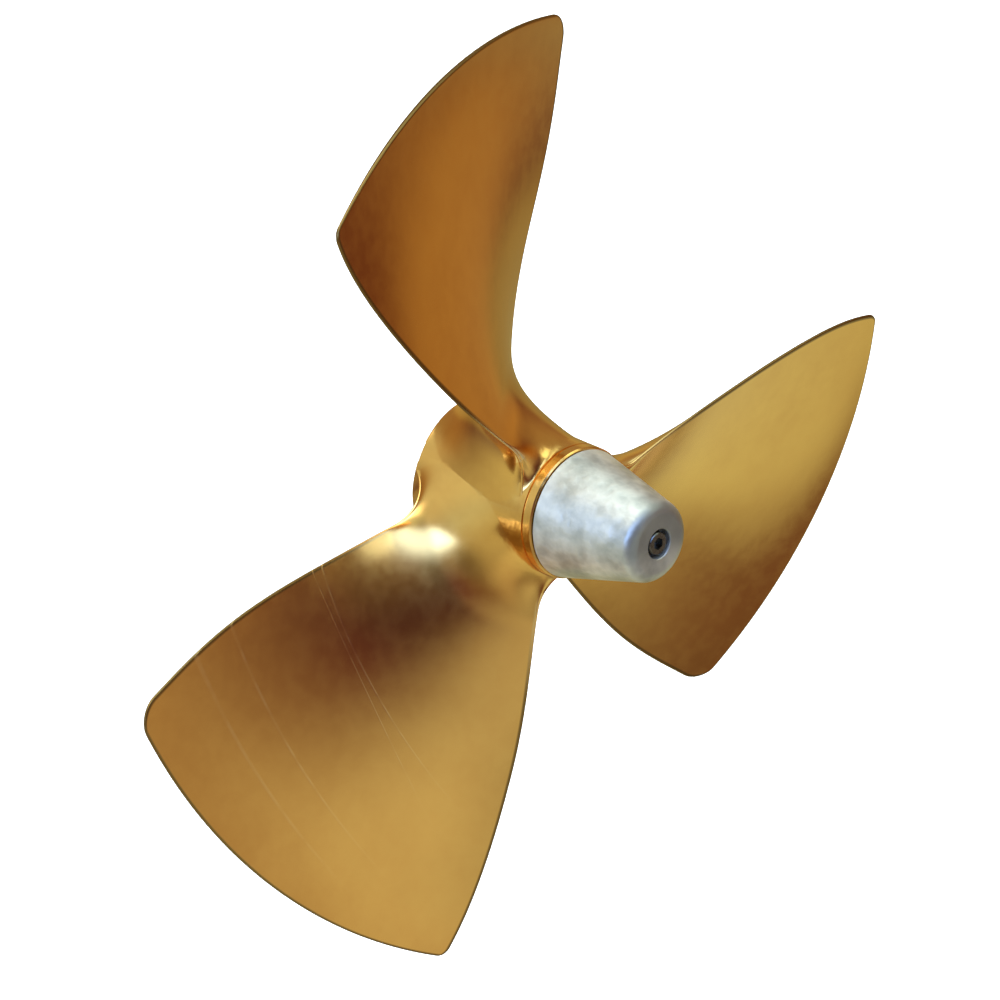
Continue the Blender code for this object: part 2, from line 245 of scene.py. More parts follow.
# The zinc's noises and relief, and how the bands' noise is drawn out round the cone
ZINC_CLOUDS = 55.0
ZINC_SPOTS = 190.0
ZINC_BANDS = 120.0
ZINC_BAND_STRETCH = 8.0
ZINC_BAND_TURN = 0.01
ZINC_RELIEF = 0.0003

# The nut's bronze, and the steel of the screw and the washers, with their noises and relief
NUT_BRONZE_DARK = (0.56, 0.36, 0.14)
NUT_BRONZE_LIGHT = (0.76, 0.52, 0.24)
NUT_SPOTS = 300.0
NUT_RELIEF = 0.00003
STEEL_DARK = (0.12, 0.12, 0.12)
STEEL_LIGHT = (0.26, 0.26, 0.26)
STEEL_WEAR = 700.0
STEEL_RELIEF = 0.00002

# Camera, stage and light. A fit to the photo's outlines gave the camera, with the main sizes above
CAMERA_PLACE = (2.0589, -2.0085, 1.1781)
CAMERA_AZIMUTH = 45.333
CAMERA_ELEVATION = 22.578
CAMERA_LENS = 209.75
SENSOR_WIDTH = 36.0
FLOOR_HEIGHT = -0.60
CEILING_HEIGHT = 13.0
STAGE_HALF_WIDTH = 14.0
FLOOR_COLOR = (0.9, 0.9, 0.9, 1.0)
FLOOR_GLOW = (1.0, 1.0, 1.0, 1.0)
# The light's values from here on come from a fit to how the photographed metal shines. They were then
# rounded, and in part changed.
# The studio's walls: elevation in degrees and colour, from straight below to straight above
STUDIO_WALLS = (
    (-90, (0.34, 0.35, 0.22)),
    (-45, (0.18, 0.10, 0.07)),
    (-10, (0.13, 0.04, 0.03)),
    (10, (0.095, 0.001, 0.016)),
    (45, (0.13, 0.11, 0.12)),
    (90, (1.1, 1.5, 1.45)),
)
# Soft round lights: azimuth, elevation, radius and softness in degrees, and colour
STUDIO_LIGHTS = {
    "window to the left": (-4, 46, 50, 14, (0.26, 0.42, 0.46)),
    "low left wall": (-23, -23, 30, 45, (0.61, 0.77, 0.51)),
    "low card behind": (163, -40, 17, 6, (0.47, 0.61, 0.38)),
    "card to the right": (118, -7, 14, 22, (0.485, 0.52, 0.345)),
    "floor below": (53, -67, 39, 8, (0.235, 0.25, 0.17)),
    "low card far left": (-130, -24, 41, 6, (0.20, 0.22, 0.06)),
    "ceiling behind": (-109, 71, 72, 14, (0.27, 0.22, 0.07)),
    "floor in front": (79, -18, 29, 13, (0.45, 0.565, 0.45)),
    "warm card behind": (174, -3, 18, 4, (0.30, 0.23, 0.07)),
    "warm card to the right": (140, 12, 14, 10, (0.25, 0.14, 0.0)),
    "lamp to the right": (98, 49, 9, 1, (1.6, 2.3, 3.0)),
    "lamp behind to the right": (132, 42, 12, 5, (1.4, 1.8, 1.5)),
    "skylight": (-50, 65, 20, 10, (1.75, 1.7, 1.7)),
}
# The curved strip light: azimuth and elevation of the pole that it bends round, its inner and outer angle
# from that pole, its middle and half length, and its colour. A softness goes with each angle and length
STRIP_POLE = (117, -54)
STRIP_INNER = (104, 5)
STRIP_OUTER = (123.5, 6.5)
STRIP_MIDDLE = (56, 5)
STRIP_REACH = (52, 4)
STRIP_COLOR = (1.85, 3.2, 6.8)
# Round flags that hold light back: azimuth, elevation, radius and softness in degrees, and the share held
STUDIO_FLAGS = {
    "flag before the strip": (61, 50, 39, 6, 0.35),
    "flag before the low left wall": (17, -12, 12, 7, 0.4),
    "flag before the floor": (82, -41, 29, 6, 0.30),
}


class Field:
    """A number that varies over a shape. Arithmetic on it becomes Math nodes in its tree."""

    def __init__(self, tree, socket):
        self.tree = tree
        self.socket = socket

    def __add__(self, other):
        return math_node("ADD", self, other)

    def __radd__(self, other):
        return math_node("ADD", other, self)

    def __sub__(self, other):
        return math_node("SUBTRACT", self, other)

    def __rsub__(self, other):
        return math_node("SUBTRACT", other, self)

    def __mul__(self, other):
        return math_node("MULTIPLY", self, other)

    def __rmul__(self, other):
        return math_node("MULTIPLY", other, self)

    def __truediv__(self, other):
        return math_node("DIVIDE", self, other)

    def __pow__(self, other):
        return math_node("POWER", self, other)


def math_node(operation, *terms, clamp=False):
    tree = next(term.tree for term in terms if isinstance(term, Field))
    node = tree.nodes.new("ShaderNodeMath")
    node.operation = operation
    node.use_clamp = clamp
    for socket, term in zip(node.inputs, terms):
        feed(tree, socket, term)
    return Field(tree, node.outputs[0])


def feed(tree, socket, term):
    """Gives a socket its value, or links it where the value is itself a socket."""
    if isinstance(term, Field):
        term = term.socket
    if isinstance(term, bpy.types.NodeSocket):
        tree.links.new(term, socket)
    else:
        socket.default_value = term


def add_node(tree, kind, settings=None, **inputs):
    """A node with its settings made and its inputs fed. An input's name is written with _ for a space."""
    node = tree.nodes.new(kind)
    for name, value in (settings or {}).items():
        setattr(node, name, value)
    for name, term in inputs.items():
        feed(tree, node.inputs[name.replace("_", " ")], term)
    return node


def separate(tree, socket):
    node = add_node(tree, "ShaderNodeSeparateXYZ", Vector=socket)
    return [Field(tree, output) for output in node.outputs]


def combine(tree, x, y, z):
    return add_node(tree, "ShaderNodeCombineXYZ", X=x, Y=y, Z=z).outputs[0]


def share_of(value, low, high):
    """How far a value has come from low to high, held between 0 and 1."""
    return math_node("DIVIDE", value - low, high - low, clamp=True)


def new_tree(name, sizes):
    """A geometry node tree with a geometry input and output, and one named input for each size."""
    tree = bpy.data.node_groups.new(name, "GeometryNodeTree")
    tree.interface.new_socket("Geometry", in_out="INPUT", socket_type="NodeSocketGeometry")
    tree.interface.new_socket("Geometry", in_out="OUTPUT", socket_type="NodeSocketGeometry")
    kinds = {float: "NodeSocketFloat", int: "NodeSocketInt"}
    for label, value in sizes.items():
        kind = kinds.get(type(value), "NodeSocketMaterial")
        tree.interface.new_socket(label, in_out="INPUT", socket_type=kind)
    group_in = tree.nodes.new("NodeGroupInput")
    group_out = tree.nodes.new("NodeGroupOutput")
    fields = {}
    for label, value in sizes.items():
        socket = group_in.outputs[label]
        fields[label] = Field(tree, socket) if type(value) in kinds else socket
    return tree, group_in.outputs["Geometry"], group_out.inputs["Geometry"], fields


def end_tree(tree, geometry, material, result):
    """Makes a tree's geometry real, gives it its material and hands it on."""
    whole = add_node(tree, "GeometryNodeRealizeInstances", Geometry=geometry)
    dressed = add_node(tree, "GeometryNodeSetMaterial", Geometry=whole.outputs[0], Material=material)
    tree.links.new(dressed.outputs[0], result)


def grow(piece, tree, sizes):
    """Runs a node tree on a piece with these sizes, and keeps the plain mesh that it makes."""
    modifier = piece.modifiers.new(tree.name, "NODES")
    modifier.node_group = tree
    identifiers = {
        item.name: item.identifier
        for item in tree.interface.items_tree
        if item.item_type == "SOCKET" and item.in_out == "INPUT"
    }
    for label, value in sizes.items():
        modifier[identifiers[label]] = value
    return settle(piece)


def settle(piece):
    """Keeps the mesh that a piece's modifiers make, and drops the modifiers."""
    piece.update_tag()
    bpy.context.view_layer.update()
    depsgraph = bpy.context.evaluated_depsgraph_get()
    mesh = bpy.data.meshes.new_from_object(piece.evaluated_get(depsgraph))
    mesh.name = piece.name
    piece.modifiers.clear()
    piece.data = mesh
    return piece


def add_piece(name, mesh=None):
    piece = bpy.data.objects.new(name, mesh or bpy.data.meshes.new(name))
    bpy.context.scene.collection.objects.link(piece)
    return piece


def smooth(piece):
    """Smooth shading, with sharp edges left crisp."""
    for face in piece.data.polygons:
        face.use_smooth = True
    piece.data.set_sharp_from_angle(angle=radians(SHARP_DEG))


def hand_over(piece, node):
    """Finishes a piece's shading, hangs it under the root body and hides the CAD node that it stands for.
    """
    smooth(piece)
    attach(piece, "root")
    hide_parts(node)
    return piece


def turned_mesh(name, profile, steps):
    """A ring turned about X from (x, radius) points that run aft along its outer side."""
    build = bmesh.new()
    count = len(profile)
    rings = []
    for x, radius in profile:
        if radius < AXIS_RADIUS:
            rings.append([build.verts.new((x, 0.0, 0.0))] * steps)
            continue
        angles = [2 * pi * i / steps for i in range(steps)]
        rings.append([build.verts.new((x, radius * sin(a), radius * cos(a))) for a in angles])
    for k in range(count):
        near, far = rings[k], rings[(k + 1) % count]
        for i in range(steps):
            j = (i + 1) % steps
            corners = list(dict.fromkeys((near[i], near[j], far[j], far[i])))
            if len(corners) > 2:
                build.faces.new(corners)
    bmesh.ops.recalc_face_normals(build, faces=build.faces)
    mesh = bpy.data.meshes.new(name)
    build.to_mesh(mesh)
    build.free()
    return mesh


def boss_radius(x):
    return BOSS_FORWARD_RADIUS + (BOSS_AFT_RADIUS - BOSS_FORWARD_RADIUS) * x / BOSS_LENGTH


# The casting's node tree

BLADE_SIZES = {
    **{f"Leading edge {i}": radians(v) for i, v in enumerate(LEADING_EDGE_DEG)},
    **{f"Trailing edge {i}": radians(v) for i, v in enumerate(TRAILING_EDGE_DEG)},
    **{f"Rake {i}": v for i, v in enumerate(RAKE_LINE)},
    "Tip radius": TIP_RADIUS,
    "First station": FIRST_STATION,
    "Pitch ratio": PITCH_RATIO,
    "Root pitch loss": ROOT_PITCH_LOSS,
    "Root thickness": ROOT_THICKNESS,
    "Tip thickness": TIP_THICKNESS,
    "Edge thickness": EDGE_THICKNESS,
    "Face bulge": FACE_BULGE,
    "Leading corner": LEADING_CORNER,
    "Trailing corner": TRAILING_CORNER,
    "Tip slant": TIP_SLANT,
    "Tip sag": TIP_SAG,
    "Root fillet": ROOT_FILLET,
    "Leading fillet": LEADING_FILLET,
    "Trailing fillet": TRAILING_FILLET,
    "Fillet sink": FILLET_SINK,
    "Boss forward radius": BOSS_FORWARD_RADIUS,
    "Boss aft radius": BOSS_AFT_RADIUS,
    "Boss length": BOSS_LENGTH,
}


def station_weights(share):
    """The weights that draw one smooth curve through values at equally spaced stations."""
    offsets = [share * (EDGE_STATIONS - 1) - k for k in range(EDGE_STATIONS)]
    weights = []
    for k in range(EDGE_STATIONS):
        scale = 1.0
        weight = None
        for other in range(EDGE_STATIONS):
            if other != k:
                scale *= k - other
                weight = offsets[other] if weight is None else weight * offsets[other]
        weights.append(weight * (1.0 / scale))
    return weights


def along(size, name, weights):
    """The smooth curve through a named set of station values."""
    total = None
    for k, weight in enumerate(weights):
        term = weight * size[f"{name} {k}"]
        total = term if total is None else total + term
    return total


def quarter_round(gap, radius):
    """How far a quarter-round of this radius stands out, a gap short of where it ends."""
    past = math_node("MAXIMUM", radius - gap, 0.0)
    inside = math_node("MAXIMUM", radius * radius - past * past, 0.0)
    return radius - math_node("SQRT", inside)


def blade_point(size, radius, turn, nose_aft, nose_ahead, fullness):
    """A point of blade A, its distance from the blade's edge, and 1 where it is on the pressure face.

    Turn runs round the section: half a turn along the pressure face, and half a turn back.
    """
    tree = radius.tree
    mean_boss = 0.5 * (size["Boss forward radius"] + size["Boss aft radius"])
    share = (radius - size["First station"]) / (size["Tip radius"] - size["First station"])
    height = math_node("MAXIMUM", radius - mean_boss + size["Fillet sink"], 0.0)
    weights = station_weights(share)
    to_tip = size["Tip radius"] - radius
    lead = along(size, "Leading edge", weights) - quarter_round(to_tip, size["Leading corner"]) / radius
    trail = along(size, "Trailing edge", weights) + quarter_round(to_tip, size["Trailing corner"]) / radius
    # The section's slope, half length and thickness, and how far its fillets stand out
    inner_share = math_node("MAXIMUM", 1.0 - 2.0 * share, 0.0)
    pitch = size["Pitch ratio"] - size["Root pitch loss"] * inner_share * inner_share
    advance = pitch * size["Tip radius"] * (1.0 / pi)
    slope = math_node("ARCTAN2", advance, radius)
    middle = 0.5 * (lead + trail)
    half_chord = 0.5 * (lead - trail) * math_node("SQRT", radius * radius + advance * advance)
    held_share = math_node("MULTIPLY", share, 1.0, clamp=True)
    thickness = size["Root thickness"] + (size["Tip thickness"] - size["Root thickness"]) * held_share
    fillet = quarter_round(height, size["Root fillet"])
    lead_fillet = quarter_round(height, size["Leading fillet"])
    nose = 0.5 * size["Edge thickness"]
    half = half_chord - nose + 0.5 * lead_fillet
    # The section unrolled: how far towards the leading edge, and how high over the pressure face
    chord_share = math_node("COSINE", turn)
    depth = math_node("SINE", turn)
    back = math_node("MINIMUM", depth, 0.0)
    nose_out = math_node("SINE", nose_ahead) - math_node("SINE", nose_aft)
    nose_rise = math_node("COSINE", nose_ahead) - math_node("COSINE", nose_aft)
    crown = thickness - size["Edge thickness"]
    bulge = size["Face bulge"] * depth * depth
    distance = 0.5 * lead_fillet + half * chord_share + nose * nose_out * fullness
    rise = nose * nose_rise - fillet * depth + crown * back * back - bulge
    middle_rise = nose + 0.5 * crown * depth * depth - bulge
    rise = middle_rise + (rise - middle_rise) * fullness
    aft_share = 0.5 - 0.5 * chord_share
    aft_fillet = quarter_round(height, size["Trailing fillet"]) * aft_share**FILLET_POWER
    # The section wrapped round the shaft. Its root follows the boss's taper, and its tip bows a little
    cos_slope = math_node("COSINE", slope)
    sin_slope = math_node("SINE", slope)
    angle = middle + (distance * cos_slope - rise * sin_slope - aft_fillet) / radius
    x = along(size, "Rake", weights) - advance * middle - distance * sin_slope - rise * cos_slope
    on_boss = math_node("SUBTRACT", 1.0, height / size["Root fillet"], clamp=True)
    along_boss = share_of(x, 0.0, size["Boss length"])
    boss_spread = size["Boss aft radius"] - size["Boss forward radius"]
    boss = size["Boss forward radius"] + boss_spread * along_boss
    near_tip = held_share**TIP_POWER
    slant = size["Tip slant"] * chord_share + size["Tip sag"] * depth * depth
    out = radius + (boss - mean_boss) * on_boss + near_tip * slant
    point = combine(tree, x, out * math_node("SINE", angle), out * math_node("COSINE", angle))
    side_gap = half * (1.0 - math_node("ABSOLUTE", chord_share))
    return point, math_node("MINIMUM", side_gap, to_tip), math_node("GREATER_THAN", depth, 0.0)


def numbered_grid(tree, columns, rows):
    """A grid mesh, with the column and the row number of each of its points."""
    grid = add_node(
        tree,
        "GeometryNodeMeshGrid",
        Size_X=columns,
        Size_Y=rows,
        Vertices_X=columns + 1.0,
        Vertices_Y=rows + 1.0,
    )
    position = tree.nodes.new("GeometryNodeInputPosition").outputs[0]
    column, row, _ = separate(tree, position)
    column = math_node("ROUND", column + 0.5 * columns)
    row = math_node("ROUND", row + 0.5 * rows)
    return grid.outputs["Mesh"], column, row


def closed_grid(tree, grid, point):
    """Moves a grid's points into a closed skin, and merges where its edges meet."""
    skin = add_node(tree, "GeometryNodeSetPosition", Geometry=grid, Position=point)
    skin = add_node(tree, "GeometryNodeMergeByDistance", Geometry=skin.outputs[0], Distance=MERGE_DISTANCE)
    return add_node(tree, "GeometryNodeFlipFaces", Mesh=skin.outputs[0]).outputs[0]


CASTING_SIZES = {
    **BLADE_SIZES,
    "Chord steps": CHORD_STEPS,
    "Nose steps": NOSE_STEPS,
    "Span steps": SPAN_STEPS,
    "Root depth": ROOT_DEPTH,
    "Trim radius": TRIM_RADIUS,
    "Trim forward": FILLET_TRIM_FORWARD,
    "Trim aft": FILLET_TRIM_AFT,
    "Bore radius": BORE_FORWARD_RADIUS,
    "Bore taper": BORE_TAPER,
    "Keyway width": KEYWAY_WIDTH,
    "Keyway depth": KEYWAY_DEPTH,
}


def moved(tree, shape, place=(0.0, 0.0, 0.0), turn=(0.0, 0.0, 0.0)):
    """A shape turned about the origin, and then moved."""
    node = add_node(tree, "GeometryNodeTransform", Geometry=shape, Translation=place, Rotation=turn)
    return node.outputs[0]


def round_bar(tree, sides, radius, start, length):
    """A bar along the shaft axis from one station over a length."""
    bar = add_node(tree, "GeometryNodeMeshCylinder", Vertices=sides, Radius=radius, Depth=length)
    place = combine(tree, start + 0.5 * length, 0.0, 0.0)
    return moved(tree, bar.outputs["Mesh"], place, ALONG_SHAFT)


def thread_bar(tree, sides, radius, depth, pitch, start, length, rows):
    """A screw-threaded bar along the shaft axis, closed at both ends."""
    grid, column, row = numbered_grid(tree, sides, rows)
    x = start + length * share_of(row, 1.0, rows - 1.0)
    turns = column / sides
    groove = 2.0 * math_node("PINGPONG", x / pitch - turns, 0.5)
    closing = math_node("MINIMUM", math_node("MINIMUM", row, rows - row), 1.0)
    reach = (radius - depth * groove) * closing
    angle = 2 * pi * turns
    point = combine(tree, x, reach * math_node("SINE", angle), reach * math_node("COSINE", angle))
    return closed_grid(tree, grid, point)


def mesh_boolean(tree, operation, first, *others):
    """Joins, cuts or intersects solids."""
    node = add_node(tree, "GeometryNodeMeshBoolean", {"operation": operation, "solver": "EXACT"})
    first_input = "Mesh 1" if operation == "DIFFERENCE" else "Mesh 2"
    tree.links.new(first, node.inputs[first_input])
    for other in others:
        tree.links.new(other, node.inputs["Mesh 2"])
    return node.outputs["Mesh"]


def blade_solid(tree, size):
    """Blade A lofted over a grid, closed inside the boss and rounded at its tip."""
    chord, nose, span = size["Chord steps"], size["Nose steps"], size["Span steps"]
    around = 2.0 * chord + 2.0 * nose
    grid, column, row = numbered_grid(tree, around, span)
    turn = pi * (share_of(column, 0.0, chord) + share_of(column, chord + nose, 2.0 * chord + nose))
    nose_aft = pi * share_of(column, chord, chord + nose)
    nose_ahead = pi * share_of(column, 2.0 * chord + nose, around)
    # The first two rows close the blade inside the boss, and the last ones round its tip
    climb = share_of(row, 2.0, span)
    reach = 0.5 - 0.5 * math_node("COSINE", pi * climb)
    start = 0.5 * (size["Boss forward radius"] + size["Boss aft radius"]) - size["Fillet sink"]
    radius = start + (size["Tip radius"] - start) * reach
    sunk = math_node("LESS_THAN", row, 1.5)
    past = (radius - size["Tip radius"]) / (0.5 * size["Edge thickness"]) + 1.0
    past = math_node("MAXIMUM", past, 0.0)
    rounding = math_node("SQRT", math_node("MAXIMUM", 1.0 - past * past, 0.0))
    fullness = rounding * math_node("MINIMUM", row, 1.0)
    point, edge_gap, on_face = blade_point(size, radius, turn, nose_aft, nose_ahead, fullness)
    x, y, z = separate(tree, point)
    drop = 1.0 - sunk * size["Root depth"] / radius
    point = combine(tree, x, y * drop, z * drop)
    for name, value in (("inboard", edge_gap), ("pressure_face", on_face)):
        grid = add_node(
            tree,
            "GeometryNodeStoreNamedAttribute",
            {"data_type": "FLOAT", "domain": "POINT"},
            Geometry=grid,
            Name=name,
            Value=value,
        ).outputs[0]
    return closed_grid(tree, grid, point)


def key_bar(tree, size):
    """The bar that cuts the keyway. Its top is the keyway's floor, and leans with the taper bore."""
    cutter_size = combine(tree, KEY_REACH * size["Boss length"], size["Keyway width"], size["Bore radius"])
    cutter = add_node(tree, "GeometryNodeMeshCube", Size=cutter_size)
    below = combine(tree, 0.0, 0.0, -0.5 * size["Bore radius"])
    lowered = moved(tree, cutter.outputs["Mesh"], below)
    lean = combine(tree, 0.0, math_node("ARCTANGENT", 0.5 * size["Bore taper"]), 0.0)
    key_top = combine(tree, 0.0, 0.0, size["Bore radius"] + size["Keyway depth"])
    return moved(tree, lowered, key_top, lean)


def casting_tree(sizes):
    """Copies blade A round the shaft, joins the blades to the turned boss and cuts the keyway."""
    tree, boss, result, size = new_tree("Propeller casting", sizes)
    blade = blade_solid(tree, size)
    blades = [moved(tree, blade, turn=(k * BLADE_STEP, 0.0, 0.0)) for k in range(BLADE_COUNT)]
    # Lathe cuts take off what the root fillets leave past the boss's ends
    cut_length = TRIM_REACH * size["Root fillet"]
    forward_start = size["Trim forward"] - cut_length
    forward_cut = round_bar(tree, TRIM_SIDES, size["Trim radius"], forward_start, cut_length)
    aft_cut = round_bar(tree, TRIM_SIDES, size["Trim radius"], size["Trim aft"], cut_length)
    blades = mesh_boolean(tree, "DIFFERENCE", mesh_boolean(tree, "UNION", *blades), forward_cut, aft_cut)
    solid = mesh_boolean(tree, "UNION", boss, blades)
    keyed = mesh_boolean(tree, "DIFFERENCE", solid, key_bar(tree, size))
    end_tree(tree, keyed, size["Material"], result)
    return tree


def boss_profile():
    """The boss from its forward bore edge, out and aft along its outside, and back through the bore."""
    groove_floor = boss_radius(GROOVE_START) - GROOVE_DEPTH
    groove_end = GROOVE_START + GROOVE_WIDTH
    groove_wall = GROOVE_WALL_SHARE * GROOVE_WIDTH
    half_taper = 0.5 * BORE_TAPER
    aft_chamfer = 0.5 * BOSS_CHAMFER
    return (
        (0.0, BORE_FORWARD_RADIUS + BOSS_CHAMFER),
        (0.0, BOSS_FORWARD_RADIUS - BOSS_CHAMFER),
        (BOSS_CHAMFER, boss_radius(BOSS_CHAMFER)),
        (GROOVE_START, boss_radius(GROOVE_START)),
        (GROOVE_START + groove_wall, groove_floor),
        (groove_end - groove_wall, groove_floor),
        (groove_end, boss_radius(groove_end)),
        (BOSS_LENGTH - aft_chamfer, boss_radius(BOSS_LENGTH)),
        (BOSS_LENGTH, boss_radius(BOSS_LENGTH) - aft_chamfer),
        (BOSS_LENGTH, BORE_FORWARD_RADIUS - half_taper * BOSS_LENGTH),
        (BOSS_CHAMFER, BORE_FORWARD_RADIUS - half_taper * BOSS_CHAMFER),
    )


def make_casting(material):
    """The boss and the three blades as one bronze casting."""
    casting = add_piece("propeller", turned_mesh("boss", boss_profile(), TURNED_STEPS))
    sizes = {**CASTING_SIZES, "Material": material}
    grow(casting, casting_tree(sizes), sizes)
    return hand_over(casting, "propeller_casting")


def nose_profile():
    """The cone's rounded small end, tangent to its side, from the side to the flat end face."""
    slope = atan(ANODE_SLOPE)
    centre_x = ANODE_END - ANODE_NOSE_ROUNDING
    start_x = centre_x + ANODE_NOSE_ROUNDING * sin(slope)
    start_radius = ANODE_FORWARD_RADIUS - ANODE_SLOPE * (start_x - ANODE_START)
    centre_radius = start_radius - ANODE_NOSE_ROUNDING * cos(slope)
    for angle in np.linspace(slope, pi / 2, NOSE_ARC_POINTS):
        yield (
            centre_x + ANODE_NOSE_ROUNDING * sin(angle),
            centre_radius + ANODE_NOSE_ROUNDING * cos(angle),
        )


def make_anode(material):
    """The zinc cone over the shaft nut."""
    profile = (
        (ANODE_START, CAVITY_RADIUS),
        (ANODE_START, ANODE_FORWARD_RADIUS - ANODE_RIM_ROUNDING),
        (ANODE_START + ANODE_RIM_ROUNDING, ANODE_FORWARD_RADIUS - ANODE_SLOPE * ANODE_RIM_ROUNDING),
        *nose_profile(),
        (ANODE_END, COUNTERBORE_RADIUS + COUNTERBORE_CHAMFER),
        (ANODE_END - COUNTERBORE_CHAMFER, COUNTERBORE_RADIUS),
        (COUNTERBORE_FLOOR, COUNTERBORE_RADIUS),
        (COUNTERBORE_FLOOR, SCREW_HOLE_RADIUS),
        (CAVITY_END, SCREW_HOLE_RADIUS),
        (CAVITY_END, CAVITY_RADIUS),
    )
    cone = add_piece("zinc_cone", turned_mesh("zinc_cone", profile, TURNED_STEPS))
    cone.data.materials.append(material)
    return hand_over(cone, "anode_cone")


SCREW_SIZES = {
    "Thread steps": THREAD_STEPS,
    "Thread rows": SCREW_ROWS,
    "Thread start": HEAD_SEAT - SCREW_LENGTH,
    "Thread length": SCREW_LENGTH + HEAD_CHAMFER,
    "Thread radius": SCREW_RADIUS,
    "Thread depth": SCREW_THREAD_DEPTH,
    "Thread pitch": SCREW_PITCH,
    "Head top": HEAD_TOP,
    "Head radius": HEAD_RADIUS,
    "Knurl ridges": KNURL_RIDGES,
    "Knurl depth": KNURL_DEPTH,
    "Socket across flats": SOCKET_ACROSS_FLATS,
    "Socket depth": SOCKET_DEPTH,
}


def screw_tree(sizes):
    """Knurls the turned head, joins the threaded shank to it and cuts the hexagon socket."""
    tree, head, result, size = new_tree("Socket screw", sizes)
    x, y, z = separate(tree, tree.nodes.new("GeometryNodeInputPosition").outputs[0])
    out = math_node("SQRT", y * y + z * z)
    ridge = math_node("PINGPONG", math_node("ARCTAN2", y, z) * size["Knurl ridges"] / (2 * pi), 0.5)
    rim = math_node("GREATER_THAN", out, size["Head radius"] - KNURL_TOLERANCE)
    shrink = 1.0 - 2.0 * ridge * rim * size["Knurl depth"] / size["Head radius"]
    place = combine(tree, x, y * shrink, z * shrink)
    head = add_node(tree, "GeometryNodeSetPosition", Geometry=head, Position=place).outputs[0]
    corner = HEX_CORNER * size["Socket across flats"]
    floor = size["Head top"] - size["Socket depth"]
    socket = round_bar(tree, HEX_SIDES, corner, floor, 2.0 * size["Socket depth"])
    head = mesh_boolean(tree, "DIFFERENCE", head, socket)
    shank = thread_bar(
        tree,
        size["Thread steps"],
        size["Thread radius"],
        size["Thread depth"],
        size["Thread pitch"],
        size["Thread start"],
        size["Thread length"],
        size["Thread rows"],
    )
    end_tree(tree, mesh_boolean(tree, "UNION", head, shank), size["Material"], result)
    return tree


def make_screw(material):
    """The socket screw that holds the cone to the shaft nut."""
    profile = (
        (HEAD_SEAT, 0.0),
        (HEAD_SEAT, HEAD_RADIUS - SEAT_CHAMFER),
        (HEAD_SEAT + SEAT_CHAMFER, HEAD_RADIUS),
        (KNURL_END, HEAD_RADIUS),
        (HEAD_TOP - HEAD_CHAMFER, HEAD_RADIUS - KNURL_DEPTH),
        (HEAD_TOP, HEAD_RADIUS - KNURL_DEPTH - HEAD_CHAMFER),
        (HEAD_TOP, 0.0),
    )
    screw = add_piece("socket_screw", turned_mesh("socket_screw", profile, 2 * SMALL_STEPS))
    sizes = {**SCREW_SIZES, "Material": material}
    grow(screw, screw_tree(sizes), sizes)
    return hand_over(screw, "anode_screw")


SPRING_WASHER_SIZES = {
    "Steps": SMALL_STEPS,
    "Mean radius": 0.5 * (SPRING_WASHER_INNER + SPRING_WASHER_OUTER),
    "Width": SPRING_WASHER_OUTER - SPRING_WASHER_INNER,
    "Height": SPRING_WASHER_HEIGHT - SPRING_WASHER_LIFT,
    "Lift": SPRING_WASHER_LIFT,
    "Turns": 1.0 - SPRING_WASHER_SPLIT_DEG / 360,
    "Start": SPRING_WASHER_START,
}


def spring_washer_tree(sizes):
    """A square bar bent round one turn of a shallow helix, with its two ends a split apart."""
    tree, _, result, size = new_tree("Split washer", sizes)
    coil = add_node(
        tree,
        "GeometryNodeCurveSpiral",
        Resolution=size["Steps"],
        Rotations=size["Turns"],
        Start_Radius=size["Mean radius"],
        End_Radius=size["Mean radius"],
        Height=size["Lift"],
    )
    bar = add_node(tree, "GeometryNodeCurvePrimitiveQuadrilateral")
    feed(tree, bar.inputs["Width"], size["Width"])
    feed(tree, bar.inputs["Height"], size["Height"])
    ring = add_node(
        tree,
        "GeometryNodeCurveToMesh",
        Curve=coil.outputs[0],
        Profile_Curve=bar.outputs[0],
        Fill_Caps=True,
    )
    place = combine(tree, size["Start"] + 0.5 * size["Height"], 0.0, 0.0)
    end_tree(tree, moved(tree, ring.outputs[0], place, ALONG_SHAFT), size["Material"], result)
    return tree


def make_spring_washer(material):
    """The split spring washer under the screw's head."""
    sizes = {**SPRING_WASHER_SIZES, "Material": material}
    washer = grow(add_piece("split_washer"), spring_washer_tree(sizes), sizes)
    return hand_over(washer, "screw_spring_washer")


NUT_SIZES = {
    "Steps": SMALL_STEPS,
    "Start": NUT_START,
    "Height": NUT_HEIGHT,
    "Across flats": NUT_ACROSS_FLATS,
    "Neck radius": NUT_NECK_RADIUS,
    "End": NUT_END,
    "Bore depth": NUT_BORE_DEPTH,
    "Thread steps": THREAD_STEPS,
    "Bore rows": BORE_ROWS,
    "Bore radius": NUT_THREAD_RADIUS,
    "Bore thread depth": NUT_THREAD_DEPTH,
    "Bore pitch": NUT_THREAD_PITCH,
    "Tapped rows": TAPPED_ROWS,
    "Tapped depth": NUT_TAPPED_DEPTH,
    "Tapped radius": SCREW_RADIUS + NUT_TAPPED_CLEARANCE,
    "Tapped thread depth": SCREW_THREAD_DEPTH,
    "Tapped pitch": SCREW_PITCH,
}


